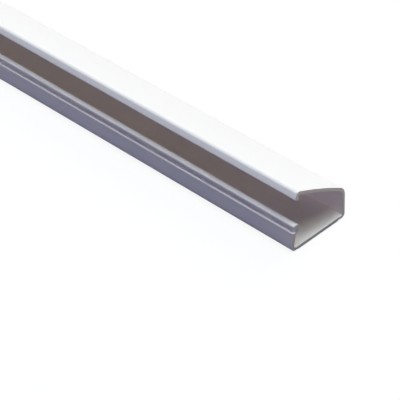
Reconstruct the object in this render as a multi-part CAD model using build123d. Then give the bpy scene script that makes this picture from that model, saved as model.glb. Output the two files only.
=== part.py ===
"""Adhesive cable raceway: one length of rigid PVC latching duct, its flap standing open.

The channel is a single extrusion. One wall of even thickness runs from the toe along the
base and up the back, over the hinge corner and out along the flap to its lip. A thicker
front wall carries the latch head, and a hook on the lip snaps under it.

Length runs along X, the front is -Y and the wall side is the underside, at Z = 0.
"""

import os
from math import cos, radians, sin

from build123d import *

# Stick
LENGTH = 400.0
BASE_WIDTH = 25.4
BACK_HEIGHT = 9.05       # straight back, from the underside to the hinge corner
WALL = 1.15

# Bends, as the radius on the inner side of each
TOE_BEND = 1.2           # base to front wall
HEEL_BEND = 0.3          # base to back wall
HINGE_BEND = 3.1         # back wall to flap, as extruded
LIP_BEND = 0.15          # flap to lip

# Front wall
FRONT_WALL = 1.6
FRONT_LEAN = 7.5         # degrees that it leans in

# Flap, as it lies when latched
FLAP_RISE = 2.0          # degrees that it climbs where it leaves the hinge corner
FLAP_FALL = 6.0          # degrees that it falls where it meets the lip
FLAP_OPEN = 29.0         # degrees between latched and as extruded
LIP_SETBACK = 0.1        # lip, behind the foremost point of the front wall
LIP_DROP = 3.2           # lip, from the edge of the flap to its lower end
LIP_EDGE = 0.35          # radius on the lower outer edge of the lip

# Latch
LATCH_CLEARANCE = 0.05   # before and above the hook when it is latched
HOOK_REACH = 0.75
HOOK_THICKNESS = 0.65
HOOK_LEAD_IN = 0.25      # chamfer that rides over the head
HEAD_THICKNESS = 1.05
HEAD_LEAD_IN = 0.45      # radius that the hook rides over
HEAD_BACK_EDGE = 0.3     # radius on the cable side of the head
GROOVE_ROOM = 0.4        # under the latched hook, down to the ridge before the groove
GROOVE_DEPTH = 0.5       # from the top of that ridge to the groove floor
NECK_WALL = 1.3          # behind the groove
NECK_RUNOUT = 0.8        # how far down the inside of the front wall the neck blends in
SHOULDER_DROP = 0.3      # slope from the ridge down to the front wall
SHOULDER_RUN = 0.3       # the same slope, measured across

# Adhesive on the underside
TAPE_WIDTH = 19.0
TAPE_THICKNESS = 0.4
TAPE_RECESS = 0.35
TAPE_SIDE_GAP = 0.3
LINER_THICKNESS = 0.1

# Places that follow from those sizes, in the section's own plane: across, then up
front = -BASE_WIDTH / 2
back = BASE_WIDTH / 2
underside = LINER_THICKNESS + TAPE_THICKNESS - TAPE_RECESS
toe_radius = TOE_BEND + WALL
heel_radius = HEEL_BEND + WALL
hinge_radius = HINGE_BEND + WALL
lip_radius = LIP_BEND + WALL
hinge_height = underside + BACK_HEIGHT

# The hinge corner keeps its length when it bends from open to latched
turn_latched = 90 - FLAP_RISE
turn_open = turn_latched - FLAP_OPEN
latched_radius = (hinge_radius - WALL / 2) * turn_open / turn_latched + WALL / 2


def hinge_end(radius, turn):
    """Where the outer skin leaves a hinge corner of that radius and turn."""
    return Vector(
        back - radius + radius * cos(radians(turn)),
        hinge_height + radius * sin(radians(turn)),
    )


flap_root = hinge_end(latched_radius, turn_latched)
flap_root_open = hinge_end(hinge_radius, turn_open)
flap_edge = front + LIP_SETBACK + lip_radius * (1 - sin(radians(FLAP_FALL)))
flap_radius = (flap_root.X - flap_edge) / (sin(radians(FLAP_RISE)) + sin(radians(FLAP_FALL)))
flap_sink = flap_radius * (cos(radians(FLAP_RISE)) - cos(radians(FLAP_FALL)))

# Latch, drawn latched: the head and the groove are placed from the hook
lip_inside = front + LIP_SETBACK + WALL
lip_end = flap_root.Y - flap_sink - LIP_DROP
hook_tip = lip_inside + HOOK_REACH
hook_top = lip_end + HOOK_THICKNESS
head_front = lip_inside + LATCH_CLEARANCE
head_under = hook_top + LATCH_CLEARANCE
head_top = head_under + HEAD_THICKNESS
groove_back = hook_tip + LATCH_CLEARANCE
ridge_top = lip_end - GROOVE_ROOM
groove_floor = ridge_top - GROOVE_DEPTH
neck_inside = groove_back + NECK_WALL
shoulder = ridge_top - SHOULDER_DROP


def at(angle):
    """Unit vector at an angle in degrees, counted from across towards up."""
    return Vector(cos(radians(angle)), sin(radians(angle)))


def wall_between(outer, inner):
    """Close an outer and an inner skin, both drawn the same way, into one face."""
    ends = [Line(outer @ 0, inner @ 0), Line(outer @ 1, inner @ 1)]
    return make_face([*outer.edges(), *inner.edges(), *ends])


def channel_skin(depth, front_depth):
    """One skin of the channel, those depths inside the outer one: front wall to hinge."""
    down = at(270 - FRONT_LEAN)
    thickening = (front_depth - depth) / cos(radians(FRONT_LEAN))
    toe = Vector(front + toe_radius, underside + toe_radius) + down * thickening
    toe_start = toe - at(-FRONT_LEAN) * (toe_radius - front_depth)
    wall_length = (groove_floor - toe_start.Y) / cos(radians(FRONT_LEAN))
    with BuildLine() as skin:
        front_wall = Line(toe_start - down * wall_length, toe_start)
        toe_bend = JernArc(
            front_wall @ 1, front_wall % 1, toe_radius - front_depth, 90 + FRONT_LEAN
        )
        base = Line(toe_bend @ 1, (back - heel_radius, underside + depth))
        heel = JernArc(base @ 1, base % 1, heel_radius - depth, 90)
        back_wall = Line(heel @ 1, (back - depth, hinge_height))
        JernArc(back_wall @ 1, back_wall % 1, hinge_radius - depth, turn_open)
    return skin.wires()[0]


def flap_skin(depth):
    """One skin of the latched flap, that far inside the outer one: crowned roof, then lip."""
    root = flap_root - at(turn_latched) * depth
    crown = FLAP_RISE + FLAP_FALL
    with BuildLine() as skin:
        roof = JernArc(root, at(180 - FLAP_RISE), flap_radius - depth, crown)
        corner = JernArc(roof @ 1, roof % 1, lip_radius - depth, 90 - FLAP_FALL)
        Line(corner @ 1, ((corner @ 1).X, lip_end))
    return skin.wires()[0]


def polygon(*points):
    """Face inside a closed outline of straight edges."""
    return make_face(Polyline(*points, close=True).edges())


def hook():
    """Hook inside the end of the latched lip."""
    return polygon(
        (lip_inside - WALL / 2, lip_end),
        (hook_tip - HOOK_LEAD_IN, lip_end),
        (hook_tip, lip_end + HOOK_LEAD_IN),
        (hook_tip, hook_top),
        (lip_inside - WALL / 2, hook_top),
    )


def latched_flap():
    """Section of the flap as it lies when latched, with the lower edge of its lip rounded."""
    outer = flap_skin(0)
    flap = wall_between(outer, flap_skin(WALL)) + hook()
    edge = flap.vertices().sort_by_distance(outer @ 1)[0]
    return fillet(edge, LIP_EDGE)


def latch_head(wall_top, wall_top_inside):
    """Ridge, neck and head on the top of the front wall, round the outward groove."""
    runout = wall_top_inside + at(270 - FRONT_LEAN) * NECK_RUNOUT
    climb = (shoulder - groove_floor) / cos(radians(FRONT_LEAN))
    slope_foot = wall_top + at(90 - FRONT_LEAN) * climb
    ridge = slope_foot + Vector(SHOULDER_RUN, SHOULDER_DROP)
    head = polygon(
        wall_top,
        slope_foot,
        ridge,
        (ridge.X, groove_floor),
        (groove_back, groove_floor),
        (groove_back, head_under),
        (head_front, head_under),
        (head_front, head_top),
        (neck_inside, head_top),
        (neck_inside, groove_floor),
        runout,
    )
    for x, radius in ((head_front, HEAD_LEAD_IN), (neck_inside, HEAD_BACK_EDGE)):
        edge = head.vertices().sort_by_distance(Vector(x, head_top))[0]
        head = fillet(edge, radius)
    return head


def swing_open(flap):
    """Turn the latched flap up and carry it to the open end of the hinge corner."""
    return Pos(flap_root_open) * Rot(0, 0, -FLAP_OPEN) * Pos(-flap_root) * flap


def channel_section():
    """Whole section of the extrusion, with the flap open and the recess for the tape."""
    outer = channel_skin(0, 0)
    inner = channel_skin(WALL, FRONT_WALL)
    channel = wall_between(outer, inner) + latch_head(outer @ 0, inner @ 0)
    recess = Pos(0, underside) * Rectangle(TAPE_WIDTH + 2 * TAPE_SIDE_GAP, 2 * TAPE_RECESS)
    return channel + swing_open(latched_flap()) - recess


def stick(section):
    """Run a section along the whole length, centred on X."""
    return extrude(Plane.YZ * section, LENGTH / 2, both=True)


def strip(bottom, thickness):
    """Flat strip of the tape's width along the underside."""
    return stick(Pos(0, bottom + thickness / 2) * Rectangle(TAPE_WIDTH, thickness))


pieces = {
    "raceway_channel": stick(channel_section()),
    "adhesive_tape": strip(LINER_THICKNESS, TAPE_THICKNESS),
    "release_liner": strip(0, LINER_THICKNESS),
}

os.makedirs("parts", exist_ok=True)
for node, piece in pieces.items():
    export_step(piece, f"parts/{node}.step")
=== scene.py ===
"""Looks of an adhesive cable raceway: a stick of white rigid PVC latching duct, flap open.

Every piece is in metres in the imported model's frame: X along the stick, the latch front at
-Y and the adhesive underside at Z = 0.
"""

from math import ceil, cos, pi, radians, sin, tan

import bmesh
import bpy
from mathutils import Matrix, Vector, noise


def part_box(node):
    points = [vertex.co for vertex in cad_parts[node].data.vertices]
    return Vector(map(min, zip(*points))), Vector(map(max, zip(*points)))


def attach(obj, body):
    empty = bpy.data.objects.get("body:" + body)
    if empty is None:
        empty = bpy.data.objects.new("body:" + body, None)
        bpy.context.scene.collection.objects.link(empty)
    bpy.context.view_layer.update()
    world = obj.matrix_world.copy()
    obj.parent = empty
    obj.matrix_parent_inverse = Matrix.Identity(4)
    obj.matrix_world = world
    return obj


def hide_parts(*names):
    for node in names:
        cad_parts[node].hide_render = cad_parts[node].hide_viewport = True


bl_info = {
    "name": "Adhesive Cable Raceway",
    "version": (1, 0, 0),
    "blender": (4, 5, 0),
    "location": "View3D > Sidebar > Raceway",
    "description": "Builds a stick of white PVC latching raceway with its tape, liner and studio",
    "category": "Add Mesh",
}

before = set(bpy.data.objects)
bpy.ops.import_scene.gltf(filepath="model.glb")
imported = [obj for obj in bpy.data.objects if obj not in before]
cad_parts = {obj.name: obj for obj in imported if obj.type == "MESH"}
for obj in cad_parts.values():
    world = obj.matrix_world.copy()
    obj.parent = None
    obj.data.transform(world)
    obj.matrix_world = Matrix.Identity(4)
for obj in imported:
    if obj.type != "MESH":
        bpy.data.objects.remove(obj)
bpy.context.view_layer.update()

MM = 0.001
CHANNEL_LOW, CHANNEL_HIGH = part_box("raceway_channel")
TAPE_LOW, TAPE_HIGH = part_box("adhesive_tape")
LINER_LOW, LINER_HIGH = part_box("release_liner")

SAME_POINT = 0.001 * MM     # points closer than this become one
ARC_STEP = radians(6)       # largest turn between two points of a rounded corner
LEAST_ARC_STEPS = 3
TRUE_EDGE = radians(35)     # faces that meet more sharply than this aren't shaded as one
SAWN_END = 0.9              # share of a normal along the stick, above which a face is an end
SAWN_RIM = 0.2              # and above which it shows the marks of the saw
SLIT_CUTS = 159             # points along a strip's long edges, 2.5 mm apart
SLIT_DRIFTS = 120           # how often a slit edge drifts in a metre, so once in 8 mm
OTHER_SIDE = 7.3            # far enough in the noise that both sides drift on their own
WAVE = pi / 10              # metres in which a wave texture of scale 1 repeats

# Colour sockets of a Mix node by number, because its other sockets have the same names
MIX_FIRST, MIX_SECOND, MIX_RESULT = 6, 7, 2


def size(name, description, millimetres):
    """Length property with its default given in millimetres."""
    return bpy.props.FloatProperty(
        name=name, description=description, default=millimetres * MM, unit="LENGTH", precision=5
    )


def angle(name, description, degrees):
    """Angle property with its default given in degrees."""
    return bpy.props.FloatProperty(
        name=name, description=description, default=radians(degrees), subtype="ANGLE"
    )


def swatch(name, description, code):
    """Colour property with its default given as an sRGB hex code."""
    return bpy.props.FloatVectorProperty(
        name=name, description=description, default=linear(code)[:3], subtype="COLOR",
        min=0.0, max=1.0
    )


def linear(code):
    """Linear RGBA of an sRGB hex code."""
    parts = [int(code[i:i + 2], 16) / 255 for i in (1, 3, 5)]
    return (*[p / 12.92 if p <= 0.04045 else ((p + 0.055) / 1.055) ** 2.4 for p in parts], 1.0)


class RacewayChannelSizes(bpy.types.PropertyGroup):
    """Sizes of the extruded channel, with the flap as it comes off the die."""

    wall: size("Wall", "Thickness of base, back and flap", 1.15)
    toe_bend: size("Toe bend", "Inner radius from base to front wall", 1.2)
    heel_bend: size("Heel bend", "Inner radius from base to back wall", 0.3)
    hinge_bend: size("Hinge bend", "Inner radius from back wall to flap", 3.1)
    lip_bend: size("Lip bend", "Inner radius from flap to lip", 0.15)
    back_height: size("Back height", "Straight back, from the underside to the hinge", 9.05)
    front_wall: size("Front wall", "Thickness of the front wall", 1.6)
    front_lean: angle("Front lean", "How far the front wall leans in", 7.5)
    flap_rise: angle("Flap rise", "Climb of the latched flap at the hinge", 2)
    flap_fall: angle("Flap fall", "Fall of the latched flap at the lip", 6)
    flap_open: angle("Flap open", "Turn of the flap from latched to open", 29)
    lip_setback: size("Lip setback", "Latched lip behind the front wall", 0.1)
    lip_drop: size("Lip drop", "Lip below the edge of the flap", 3.2)
    lip_edge: size("Lip edge", "Radius on the lower outer edge of the lip", 0.35)
    latch_gap: size("Latch gap", "Clearance before and above the latched hook", 0.05)
    groove_room: size("Groove room", "Under the latched hook, down to the ridge", 0.4)
    groove_depth: size("Groove depth", "From the ridge to the groove floor", 0.5)
    hook_reach: size("Hook reach", "Hook inside the lip", 0.75)
    hook_thickness: size("Hook thickness", "Height of the hook", 0.65)
    head_thickness: size("Head thickness", "Height of the latch head", 1.05)
    head_lead_in: size("Head lead-in", "Radius that the hook rides over", 0.45)
    head_back_edge: size("Head back edge", "Radius on the cable side of the head", 0.3)
    neck_wall: size("Neck wall", "Wall behind the latch groove", 1.3)
    neck_runout: size("Neck runout", "How far the neck blends down the front wall", 0.8)
    neck_blend: size("Neck blend", "Radius where the neck blends into the front wall", 0.7)
    shoulder_drop: size("Shoulder drop", "Slope before the ridge, downwards", 0.3)
    shoulder_run: size("Shoulder run", "Slope before the ridge, across", 0.3)
    recess_depth: size("Recess depth", "Tape recess in the underside", 0.35)
    recess_gap: size("Recess gap", "Recess beyond each edge of the tape", 0.3)
    worn_edge: size("Worn edge", "Radius that extrusion leaves on a sharp corner", 0.12)
    sawn_edge: size("Sawn edge", "Broken edge round each sawn end", 0.06)


class RacewayStripSizes(bpy.types.PropertyGroup):
    """Edges of the foam tape and of its liner."""

    tape_edge: size("Tape edge", "Rounding of the tape's long edges", 0.04)
    tape_waviness: size("Tape waviness", "Drift of the tape's slit sides", 0.12)
    liner_edge: size("Liner edge", "Rounding of the liner's long edges", 0.01)
    liner_waviness: size("Liner waviness", "Drift of the liner's slit sides", 0.03)


class RacewayMaterials(bpy.types.PropertyGroup):
    """Colours of the stick's materials."""

    pvc: swatch("PVC", "Rigid PVC of the channel", "#f8f5ef")
    # Darker than the extruded skin: painted shade of the saw grooves on the sawn ends
    pvc_sawn_groove_shade: swatch("Sawn PVC", "Rigid PVC where the saw has cut it", "#ebe8e2")
    pvc_glow: swatch("PVC glow", "Light that comes through the walls", "#fff3e9")
    pvc_through: bpy.props.FloatProperty(
        name="PVC through", description="Share of the light that enters the wall", default=0.19,
        min=0.0, max=1.0, subtype="FACTOR"
    )
    foam: swatch("Foam", "Closed-cell foam of the tape", "#e9e8e2")
    liner: swatch("Liner", "Silicone-coated paper of the liner", "#e3d6ae")


class StudioSettings(bpy.types.PropertyGroup):
    """Camera, lamps and floor."""

    lens: bpy.props.FloatProperty(
        name="Lens", description="Focal length on a 36 mm wide sensor", default=158.82,
        unit="CAMERA"
    )
    camera_place: bpy.props.FloatVectorProperty(
        name="Camera place", description="Where the camera stands",
        default=(0.49054, -0.32338, 0.35795), unit="LENGTH", precision=5
    )
    camera_across: bpy.props.FloatVectorProperty(
        name="Camera across", description="Direction of the right side of the picture",
        default=(0.706196, 0.706902, -0.039709), subtype="DIRECTION", precision=6
    )
    camera_up: bpy.props.FloatVectorProperty(
        name="Camera up", description="Direction of the top of the picture",
        default=(-0.416252, 0.459897, 0.784366), subtype="DIRECTION", precision=6
    )
    lamp_distance: size("Lamp distance", "From the middle of the stick to each lamp", 2500)
    lamp_width: size("Lamp width", "Width of each softbox", 1600)
    floor_reach: size("Floor reach", "From the middle of the floor to its edges", 3000)
    floor_gap: size("Floor gap", "Floor below the stick, so that they never touch", 0.02)
    floor: swatch("Floor", "Paint of the floor where it is seen", "#f4f4f4")
    floor_bounce: swatch("Floor bounce", "Paint of the floor as a source of light", "#282828")
    floor_white: bpy.props.FloatProperty(
        name="Floor white", description="Share of the seen floor that is white in any light",
        default=0.9, min=0.0, max=1.0, subtype="FACTOR"
    )


def per(millimetres):
    """Scale of a pattern whose marks are that far apart."""
    return 1 / (millimetres * MM)


def at(heading):
    """Unit vector in the section's plane, its heading counted from across towards up."""
    return Vector((cos(heading), sin(heading)))


def channel_corners(s):
    """Corners of the section in order, each as (place, radius), the flap swung open."""
    right = pi / 2
    front, back = CHANNEL_LOW.y, CHANNEL_HIGH.y
    underside = CHANNEL_LOW.z
    toe, heel = s.toe_bend + s.wall, s.heel_bend + s.wall
    hinge, lip = s.hinge_bend + s.wall, s.lip_bend + s.wall
    hinge_height = underside + s.back_height

    def hinge_end(radius, turn):
        """Where the outer skin leaves a hinge corner of that radius and turn."""
        return Vector((back - radius, hinge_height)) + at(turn) * radius

    turn_latched = right - s.flap_rise
    turn_open = turn_latched - s.flap_open
    latched = (hinge - s.wall / 2) * turn_open / turn_latched + s.wall / 2
    root = hinge_end(latched, turn_latched)
    root_open = hinge_end(hinge, turn_open)
    hinge_corner = Vector((back, hinge_height + hinge * tan(turn_open / 2)))
    crown = s.flap_rise + s.flap_fall
    edge = front + s.lip_setback + lip * (1 - sin(s.flap_fall))
    roof = (root.x - edge) / (sin(s.flap_rise) + sin(s.flap_fall))

    # Latched flap: middle of the crown, corner of the lip, lower end, hook and back again
    crown_middle = root + at(pi - s.flap_rise) * roof * tan(crown / 2)
    lip_corner = crown_middle + at(pi + s.flap_fall) * (
        roof * tan(crown / 2) + lip * tan((right - s.flap_fall) / 2)
    )
    outside = front + s.lip_setback
    inside = outside + s.wall
    sink = roof * (cos(s.flap_rise) - cos(s.flap_fall))
    lip_end = root.y - sink - s.lip_drop
    hook_tip = inside + s.hook_reach
    hook_top = lip_end + s.hook_thickness

    def inner(corner, into, out):
        """The same corner on the inner skin, between an incoming and an outgoing heading."""
        return corner + at((into + out) / 2 + right) * s.wall / cos((out - into) / 2)

    flap = [
        (crown_middle, roof),
        (lip_corner, lip),
        (Vector((outside, lip_end)), s.lip_edge),
        (Vector((hook_tip, lip_end)), s.lip_edge),
        (Vector((hook_tip, hook_top)), s.worn_edge),
        (Vector((inside, hook_top)), s.worn_edge),
        (inner(lip_corner, pi + s.flap_fall, 3 * right), s.lip_bend),
        (inner(crown_middle, pi - s.flap_rise, pi + s.flap_fall), roof - s.wall),
    ]
    swing = Matrix.Rotation(-s.flap_open, 2)
    flap = [(root_open + swing @ (place - root), radius) for place, radius in flap]

    # Latch head and groove on the front wall
    lean = at(right - s.front_lean)
    head_front = inside + s.latch_gap
    head_under = hook_top + s.latch_gap
    head_top = head_under + s.head_thickness
    groove_back = hook_tip + s.latch_gap
    ridge_top = lip_end - s.groove_room
    groove_floor = ridge_top - s.groove_depth
    neck_inside = groove_back + s.neck_wall
    shoulder = ridge_top - s.shoulder_drop
    toe_sharp = Vector((front + toe - toe * tan((right + s.front_lean) / 2), underside))
    wall_top = toe_sharp + lean * (groove_floor - underside) / cos(s.front_lean)
    slope_foot = toe_sharp + lean * (shoulder - underside) / cos(s.front_lean)
    ridge = slope_foot + Vector((s.shoulder_run, s.shoulder_drop))
    across = Vector((s.front_wall / cos(s.front_lean), 0))
    floor = underside + s.wall
    toe_inside = toe_sharp + across + lean * s.wall / cos(s.front_lean)
    recess = TAPE_HIGH.y + s.recess_gap
    recess_top = underside + s.recess_depth
    return [
        (toe_sharp, toe),
        (Vector((-recess, underside)), s.worn_edge),
        (Vector((-recess, recess_top)), 0),
        (Vector((recess, recess_top)), 0),
        (Vector((recess, underside)), s.worn_edge),
        (Vector((back, underside)), heel),
        (hinge_corner, hinge),
        *flap,
        (inner(hinge_corner, right, right + turn_open), s.hinge_bend),
        (Vector((back - s.wall, floor)), s.heel_bend),
        (toe_inside, toe - s.front_wall),
        (wall_top + across - lean * s.neck_runout, s.neck_blend),
        (Vector((neck_inside, groove_floor)), s.neck_blend),
        (Vector((neck_inside, head_top)), s.head_back_edge),
        (Vector((head_front, head_top)), s.head_lead_in),
        (Vector((head_front, head_under)), s.worn_edge),
        (Vector((groove_back, head_under)), s.worn_edge),
        (Vector((groove_back, groove_floor)), s.worn_edge),
        (Vector((ridge.x, groove_floor)), s.worn_edge),
        (ridge, s.worn_edge / 2),
        (slope_foot, s.worn_edge),
    ]


def rounded_outline(bm, corners, x):
    """Closed chain of edges round the corners, in the plane across the stick at that x."""
    arcs = []
    for number, (here, radius) in enumerate(corners):
        into = (here - corners[number - 1][0]).normalized()
        out = (corners[(number + 1) % len(corners)][0] - here).normalized()
        turn = -into.angle_signed(out)
        start = here - into * radius * tan(abs(turn) / 2)
        vert = bm.verts.new((x, *start))
        arcs.append((vert, vert))
        if radius:
            aside = Vector((-into.y, into.x)) * (radius if turn > 0 else -radius)
            steps = max(LEAST_ARC_STEPS, ceil(abs(turn) / ARC_STEP))
            made = bmesh.ops.spin(
                bm, geom=[vert], cent=(x, *(start + aside)), axis=(1, 0, 0),
                angle=turn, steps=steps, use_merge=False, use_duplicate=False,
            )
            arcs[-1] = (vert, made["geom_last"][0])
    for number, (start, _) in enumerate(arcs):
        bm.edges.new((arcs[number - 1][1], start))
    bmesh.ops.remove_doubles(bm, verts=bm.verts[:], dist=SAME_POINT)


def finished(bm, name, materials):
    """Object from a bmesh, its faces smooth but for true edges, riding on the stick."""
    bmesh.ops.recalc_face_normals(bm, faces=bm.faces[:])
    mesh = bpy.data.meshes.new(name)
    bm.to_mesh(mesh)
    bm.free()
    mesh.shade_smooth()
    mesh.set_sharp_from_angle(angle=TRUE_EDGE)
    for material in materials:
        mesh.materials.append(material)
    piece = bpy.data.objects.new(name, mesh)
    bpy.context.collection.objects.link(piece)
    weighted = piece.modifiers.new("flat faces stay flat", "WEIGHTED_NORMAL")
    weighted.keep_sharp = True
    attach(piece, "root")
    return piece


def add_node(tree, kind, settings=(), **links):
    """Node of one kind, with attributes and input values set and its inputs linked."""
    node = tree.nodes.new("ShaderNode" + kind)
    for name, value in dict(settings).items():
        if isinstance(name, int) or name in node.inputs:
            node.inputs[name].default_value = value
        else:
            setattr(node, name, value)
    for name, source in links.items():
        tree.links.new(source, node.inputs[name.replace("_", " ")])
    return node


def new_material(name, **values):
    """Material with those values on its shader, and its node tree and shader node."""
    material = bpy.data.materials.new(name)
    material.use_nodes = True
    shader = material.node_tree.nodes["Principled BSDF"]
    for socket, value in values.items():
        shader.inputs[socket.replace("_", " ")].default_value = value
    return material, material.node_tree, shader


def let_light_through(tree, shader, settings):
    """Let a share of the light through the thin walls, warmer than it came in."""
    through = add_node(tree, "BsdfTranslucent", {"Color": (*settings.pvc_glow, 1)})
    walls = add_node(tree, "MixShader", {"Fac": settings.pvc_through})
    tree.links.new(shader.outputs[0], walls.inputs[1])
    tree.links.new(through.outputs[0], walls.inputs[2])
    tree.links.new(walls.outputs[0], tree.nodes["Material Output"].inputs["Surface"])


def extruded_pvc(settings):
    """Rigid PVC off the die: satin white, with faint lines drawn along the stick."""
    # The bloom on its skin takes some of the gloss, so the specular level is lower than 0.5
    material, tree, shader = new_material(
        "extruded_rigid_pvc", Base_Color=(*settings.pvc, 1), IOR=1.53, Specular_IOR_Level=0.35
    )
    place = add_node(tree, "TexCoord").outputs["Object"]

    # Die lines 0.3 mm apart, drawn at 1.1 mm as well so that they show at arm's length, and
    # 250 times as long
    drawn = add_node(tree, "Mapping", {"Scale": (1 / 250, 1, 1)}, Vector=place).outputs[0]
    lines = add_node(
        tree, "TexNoise", {"Scale": per(1.111), "Detail": 3, "Roughness": 0.65}, Vector=drawn
    )
    fine_lines = add_node(tree, "TexNoise", {"Scale": per(0.303), "Detail": 1}, Vector=drawn)
    line_bump = add_node(
        tree, "Bump", {"Strength": 0.35, "Distance": 0.012 * MM}, Height=lines.outputs["Fac"]
    )
    fine_bump = add_node(
        tree, "Bump", {"Strength": 0.3, "Distance": 0.003 * MM},
        Height=fine_lines.outputs["Fac"], Normal=line_bump.outputs[0]
    )

    # Matt bloom of the cooled skin, in patches 11 mm wide and a few centimetres long
    bloom_place = add_node(tree, "Mapping", {"Scale": (0.3, 1, 1)}, Vector=place).outputs[0]
    bloom = add_node(
        tree, "TexNoise", {"Scale": per(11.11), "Detail": 4, "Roughness": 0.6},
        Vector=bloom_place
    )
    rough = add_node(
        tree, "MapRange", {"To Min": 0.26, "To Max": 0.38}, Value=bloom.outputs["Fac"]
    )

    # Scuffs from handling: rougher marks 0.2 mm wide and 6 mm long, slanting along the stick
    scuff_place = add_node(
        tree, "Mapping", {"Scale": (0.06, 1, 1), "Rotation": (0, 0, radians(4))}, Vector=place
    ).outputs[0]
    scuff = add_node(tree, "TexNoise", {"Scale": per(0.3846), "Detail": 0}, Vector=scuff_place)
    scuff_mask = add_node(
        tree, "MapRange", {"From Min": 0.72, "From Max": 0.8}, Value=scuff.outputs["Fac"]
    )
    scuffed = add_node(
        tree, "Math", {"operation": "MULTIPLY_ADD", 1: 0.14}, Value=scuff_mask.outputs[0]
    )
    tree.links.new(rough.outputs[0], scuffed.inputs[2])
    tree.links.new(scuffed.outputs[0], shader.inputs["Roughness"])
    tree.links.new(fine_bump.outputs[0], shader.inputs["Normal"])
    let_light_through(tree, shader, settings)
    return material


def sawn_pvc(settings):
    """Rigid PVC cut by a fine circular saw: matt, with shallow tooth arcs whose shade is painted
    into its colour.
    """
    # Base colour a little darker than the skin: painted shade of the saw grooves
    material, tree, shader = new_material(
        "sawn_rigid_pvc_groove_shade", Base_Color=(*settings.pvc_sawn_groove_shade, 1), Roughness=0.62, IOR=1.53
    )
    place = add_node(tree, "TexCoord").outputs["Object"]

    # Tooth marks 0.4 mm apart, round the centre of a blade of 250 mm, in front and below
    blade = add_node(
        tree, "Mapping", {"Location": (0, 70 * MM, 104 * MM)}, Vector=place
    ).outputs[0]
    marks = add_node(
        tree, "TexWave",
        {"wave_type": "RINGS", "rings_direction": "X", "Scale": WAVE * per(0.3927),
         "Distortion": 1.5, "Detail": 2, "Detail Scale": 0.4},
        Vector=blade
    )
    bump = add_node(
        tree, "Bump", {"Strength": 0.5, "Distance": 0.02 * MM}, Height=marks.outputs["Fac"]
    )
    tree.links.new(bump.outputs[0], shader.inputs["Normal"])
    let_light_through(tree, shader, settings)
    return material


def slit_foam(settings):
    """Polyethylene foam tape slit from a roll: matt, with small closed cells cut open."""
    material, tree, shader = new_material("slit_polyethylene_foam", Roughness=0.9, IOR=1.5)
    place = add_node(tree, "TexCoord").outputs["Object"]

    # Cells 0.25 mm across, with painted shade that darkens the middle of each cut-open cell
    cells = add_node(tree, "TexVoronoi", {"Scale": per(0.25)}, Vector=place)
    bump = add_node(
        tree, "Bump", {"Strength": 0.6, "Distance": 0.06 * MM}, Height=cells.outputs["Distance"]
    )
    shade = add_node(
        tree, "MapRange", {"From Max": 0.8, "To Min": 0.86}, Value=cells.outputs["Distance"]
    )
    # Foam colour times the painted shade of the open cells
    tint = add_node(
        tree, "Mix",
        {"data_type": "RGBA", "blend_type": "MULTIPLY", "Factor": 1.0,
         MIX_FIRST: (*settings.foam, 1)}
    )
    tree.links.new(shade.outputs[0], tint.inputs[MIX_SECOND])
    tree.links.new(tint.outputs[MIX_RESULT], shader.inputs["Base Color"])
    tree.links.new(bump.outputs[0], shader.inputs["Normal"])
    return material


def release_paper(settings):
    """Silicone-coated kraft paper: smooth and slightly glossy, with cloudy fibres."""
    material, tree, shader = new_material("silicone_coated_paper", Roughness=0.42, IOR=1.45)
    place = add_node(tree, "TexCoord").outputs["Object"]

    # Fibres 0.1 mm thick and 1.5 mm long, and a cloudy shade every 4 mm
    fibre_place = add_node(tree, "Mapping", {"Scale": (0.07, 1, 1)}, Vector=place).outputs[0]
    fibres = add_node(
        tree, "TexNoise", {"Scale": per(0.1111), "Detail": 1}, Vector=fibre_place
    )
    cloud = add_node(tree, "TexNoise", {"Scale": per(4), "Detail": 5}, Vector=place)
    shade = add_node(
        tree, "MapRange", {"To Min": 0.93, "To Max": 1.04}, Value=cloud.outputs["Fac"]
    )
    tint = add_node(
        tree, "Mix",
        {"data_type": "RGBA", "blend_type": "MULTIPLY", "Factor": 1.0,
         MIX_FIRST: (*settings.liner, 1)}
    )
    tree.links.new(shade.outputs[0], tint.inputs[MIX_SECOND])
    bump = add_node(
        tree, "Bump", {"Strength": 0.2, "Distance": 0.01 * MM}, Height=fibres.outputs["Fac"]
    )
    tree.links.new(tint.outputs[MIX_RESULT], shader.inputs["Base Color"])
    tree.links.new(bump.outputs[0], shader.inputs["Normal"])
    return material


# Softboxes: azimuth from the front and elevation in degrees, sRGB colour, and how bright a
# white surface that faces one gets. Those from behind and above light the roof and shine
# through it, and the blue ones cool the front.
LAMPS = {
    "behind": (180, 50, "#f4eeff", 0.51),
    "overhead": (0, 90, "#ecfff9", 0.465),
    "over_near_end": (90, 74, "#f6fffb", 0.51),
    "front_high": (0, 74, "#3f63ff", 0.09),
    "near_end": (90, 20, "#3f3fff", 0.05),
    "front_low": (0, 20, "#304fff", 0.11),
}


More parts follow.
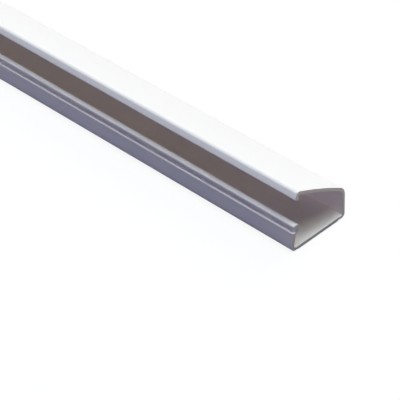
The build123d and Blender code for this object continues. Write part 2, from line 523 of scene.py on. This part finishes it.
class RACEWAY_OT_channel(bpy.types.Operator):
    """Build the extruded channel with its sawn ends"""

    bl_idname = "raceway.channel"
    bl_label = "Channel"

    def execute(self, context):
        sizes = context.scene.raceway_channel_sizes
        bm = bmesh.new()
        rounded_outline(bm, channel_corners(sizes), CHANNEL_LOW.x)
        section = bmesh.ops.contextual_create(bm, geom=bm.edges[:])["faces"]
        run = bmesh.ops.extrude_face_region(bm, geom=section)["geom"]
        verts = [part for part in run if isinstance(part, bmesh.types.BMVert)]
        bmesh.ops.translate(bm, verts=verts, vec=(CHANNEL_HIGH.x - CHANNEL_LOW.x, 0, 0))
        bmesh.ops.recalc_face_normals(bm, faces=bm.faces[:])
        ends = [face for face in bm.faces if abs(face.normal.x) > SAWN_END]
        rims = [edge for end in ends for edge in end.edges]
        bmesh.ops.bevel(
            bm, geom=rims, offset=sizes.sawn_edge, segments=2, profile=0.5,
            affect="EDGES", material=-1, clamp_overlap=True
        )
        # The broken edge is as wide as the smallest corner's radius, which it closes to a point
        bmesh.ops.remove_doubles(bm, verts=bm.verts[:], dist=SAME_POINT)
        bm.normal_update()
        for face in bm.faces:
            face.material_index = int(abs(face.normal.x) > SAWN_RIM)
        colours = context.scene.raceway_materials
        piece = finished(bm, "channel", [extruded_pvc(colours), sawn_pvc(colours)])
        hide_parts("raceway_channel")
        return {"FINISHED"}


def long_edges(bm):
    """Edges that run along the stick."""
    return [edge for edge in bm.edges if abs(edge.verts[0].co.x - edge.verts[1].co.x) > MM]


def strip(low, high, edge, waviness):
    """Bmesh of a flat strip that fills a box, its long sides slit with that waviness."""
    bm = bmesh.new()
    bmesh.ops.create_cube(bm, size=1)
    bmesh.ops.scale(bm, vec=high - low, verts=bm.verts[:])
    bmesh.ops.translate(bm, vec=(low + high) / 2, verts=bm.verts[:])
    bmesh.ops.bevel(
        bm, geom=long_edges(bm), offset=edge, segments=2, profile=0.5,
        affect="EDGES", material=-1
    )
    bmesh.ops.subdivide_edges(bm, edges=long_edges(bm), cuts=SLIT_CUTS, use_grid_fill=True)

    # The noise runs from -1 to 1, so a side drifts inwards by none to all of the waviness
    for vert in bm.verts:
        side = 1 if vert.co.y > 0 else -1
        drift = noise.noise((vert.co.x * SLIT_DRIFTS, side * OTHER_SIDE, 0))
        vert.co.y -= side * waviness * (0.5 + 0.5 * drift)
    return bm


class RACEWAY_OT_tape(bpy.types.Operator):
    """Build the foam tape in its recess"""

    bl_idname = "raceway.tape"
    bl_label = "Foam tape"

    def execute(self, context):
        sizes = context.scene.raceway_strip_sizes
        bm = strip(TAPE_LOW, TAPE_HIGH, sizes.tape_edge, sizes.tape_waviness)
        piece = finished(bm, "foam_tape", [slit_foam(context.scene.raceway_materials)])
        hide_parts("adhesive_tape")
        return {"FINISHED"}


class RACEWAY_OT_liner(bpy.types.Operator):
    """Build the release liner under the tape"""

    bl_idname = "raceway.liner"
    bl_label = "Release liner"

    def execute(self, context):
        sizes = context.scene.raceway_strip_sizes
        bm = strip(LINER_LOW, LINER_HIGH, sizes.liner_edge, sizes.liner_waviness)
        piece = finished(bm, "liner", [release_paper(context.scene.raceway_materials)])
        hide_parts("release_liner")
        return {"FINISHED"}


def shown_rays(tree):
    """1 for the rays that see a white room: the camera's, and those of gloss and glass."""
    rays = add_node(tree, "LightPath")
    shown = rays.outputs["Is Camera Ray"]
    for kind in ("Is Glossy Ray", "Is Transmission Ray"):
        either = add_node(tree, "Math", {"operation": "MAXIMUM"})
        tree.links.new(shown, either.inputs[0])
        tree.links.new(rays.outputs[kind], either.inputs[1])
        shown = either.outputs[0]
    return shown


class RACEWAY_OT_studio(bpy.types.Operator):
    """Set up the floor, lamps and camera"""

    bl_idname = "raceway.studio"
    bl_label = "Studio"

    def execute(self, context):
        scene = context.scene
        settings = scene.raceway_studio
        data = bpy.data.cameras.new("camera")
        data.sensor_width = 36
        data.lens = settings.lens
        camera = bpy.data.objects.new("camera", data)
        across, up = Vector(settings.camera_across), Vector(settings.camera_up)
        turn = Matrix((across, up, across.cross(up))).transposed()
        camera.matrix_world = Matrix.Translation(settings.camera_place) @ turn.to_4x4()
        scene.collection.objects.link(camera)
        scene.camera = camera
        scene.view_settings.view_transform = "Standard"

        for name, (azimuth, elevation, code, brightness) in LAMPS.items():
            lamp = bpy.data.lights.new(name, "AREA")
            lamp.shape = "DISK"
            lamp.size = settings.lamp_width
            lamp.color = linear(code)[:3]
            # White paint sends back the lamp's power over (pi x distance) squared
            lamp.energy = brightness * (pi * settings.lamp_distance) ** 2
            flat = at(radians(azimuth - 90)) * cos(radians(elevation))
            towards = Vector((*flat, sin(radians(elevation))))
            softbox = bpy.data.objects.new(name, lamp)
            softbox.location = towards * settings.lamp_distance
            softbox.rotation_euler = towards.to_track_quat("Z", "Y").to_euler()
            scene.collection.objects.link(softbox)

        # White room where it is seen, also in gloss and glass, and no light from it on the
        # walls of the stick
        world = bpy.data.worlds.new("studio")
        scene.world = world
        world.use_nodes = True
        tree = world.node_tree
        room = tree.nodes["Background"]
        room.inputs["Color"].default_value = linear("#ffffff")
        tree.links.new(shown_rays(tree), room.inputs["Strength"])

        bm = bmesh.new()
        bmesh.ops.create_grid(bm, x_segments=1, y_segments=1, size=settings.floor_reach)
        bmesh.ops.translate(bm, verts=bm.verts[:], vec=(0, 0, -settings.floor_gap))
        mesh = bpy.data.meshes.new("floor")
        bm.to_mesh(mesh)
        bm.free()

        # Matt painted board: white with the stick's soft shadow on it where it is seen, and
        # dark as a source of light, so that the front of the stick stays in shade
        material = bpy.data.materials.new("matt_painted_floor")
        material.use_nodes = True
        tree = material.node_tree
        tree.nodes.remove(tree.nodes["Principled BSDF"])
        paint = add_node(tree, "BsdfDiffuse", {"Color": (*settings.floor, 1)})
        white = add_node(tree, "Emission", {"Color": linear("#ffffff"), "Strength": 1.0})
        seen = add_node(tree, "MixShader", {"Fac": settings.floor_white})
        bounce = add_node(tree, "BsdfDiffuse", {"Color": (*settings.floor_bounce, 1)})
        board = add_node(tree, "MixShader", Fac=shown_rays(tree))
        for mix, first, second in ((seen, paint, white), (board, bounce, seen)):
            tree.links.new(first.outputs[0], mix.inputs[1])
            tree.links.new(second.outputs[0], mix.inputs[2])
        tree.links.new(board.outputs[0], tree.nodes["Material Output"].inputs["Surface"])
        mesh.materials.append(material)
        floor = bpy.data.objects.new("floor", mesh)
        scene.collection.objects.link(floor)
        return {"FINISHED"}


class RACEWAY_PT_sidebar(bpy.types.Panel):
    """Operators of the raceway in the sidebar"""

    bl_label = "Raceway"
    bl_space_type = "VIEW_3D"
    bl_region_type = "UI"
    bl_category = "Raceway"

    def draw(self, context):
        for operator in OPERATORS:
            self.layout.operator(operator.bl_idname)


OPERATORS = (RACEWAY_OT_channel, RACEWAY_OT_tape, RACEWAY_OT_liner, RACEWAY_OT_studio)
GROUPS = {
    "raceway_channel_sizes": RacewayChannelSizes,
    "raceway_strip_sizes": RacewayStripSizes,
    "raceway_materials": RacewayMaterials,
    "raceway_studio": StudioSettings,
}


def register():
    """Add the settings, operators and panel."""
    for name, group in GROUPS.items():
        bpy.utils.register_class(group)
        setattr(bpy.types.Scene, name, bpy.props.PointerProperty(type=group))
    for operator in OPERATORS:
        bpy.utils.register_class(operator)
    bpy.utils.register_class(RACEWAY_PT_sidebar)


def unregister():
    """Take the panel, operators and settings away again."""
    bpy.utils.unregister_class(RACEWAY_PT_sidebar)
    for operator in reversed(OPERATORS):
        bpy.utils.unregister_class(operator)
    for name, group in reversed(GROUPS.items()):
        delattr(bpy.types.Scene, name)
        bpy.utils.unregister_class(group)


def main():
    register()
    bpy.ops.raceway.channel()
    bpy.ops.raceway.tape()
    bpy.ops.raceway.liner()
    bpy.ops.raceway.studio()


if __name__ == "__main__":
    main()
